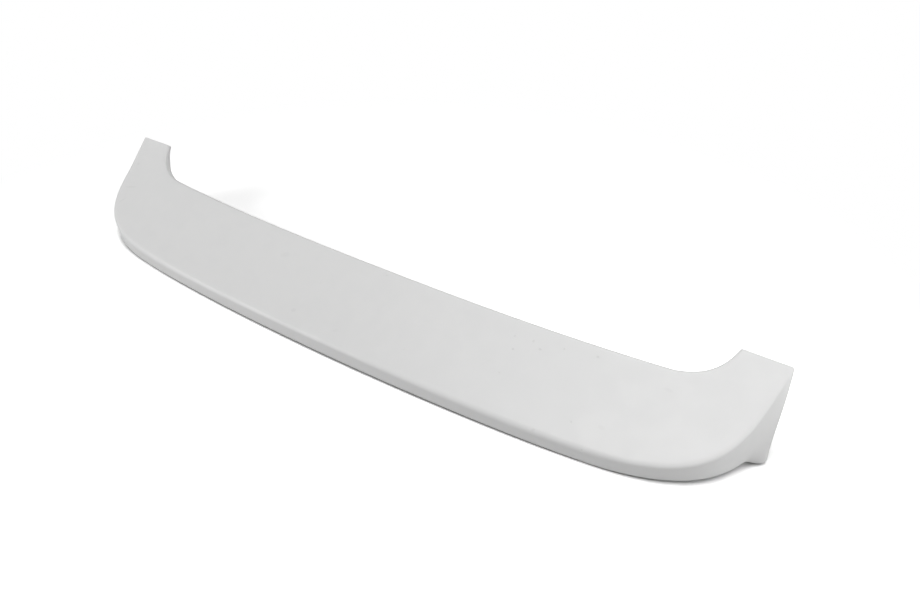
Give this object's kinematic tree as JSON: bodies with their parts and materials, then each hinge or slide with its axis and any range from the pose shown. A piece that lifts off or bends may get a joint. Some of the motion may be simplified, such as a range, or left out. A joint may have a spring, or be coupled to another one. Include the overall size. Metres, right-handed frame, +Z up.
{
  "type": "rear roof spoiler",
  "caption": "Roof spoiler for a hatchback tailgate: an open moulded shell with a long blade, rolled trailing face, forward arms and deep end cheeks, unpainted gelcoat.",
  "frame": {"origin": "on the floor, under the middle of the part's outline", "axes": "+X to the car's right-hand end as seen from behind, +Y from the trailing edge to the arm tips, +Z up as it lies on its lower rim and toes"},
  "size_m": [1.1304, 0.1874, 0.1129],
  "materials": {
    "gelcoat": "off-white moulded gelcoat, satin matte"
  },
  "bodies": {
    "root": {"spoiler_shell": "gelcoat"}
  },
  "joints": []
}
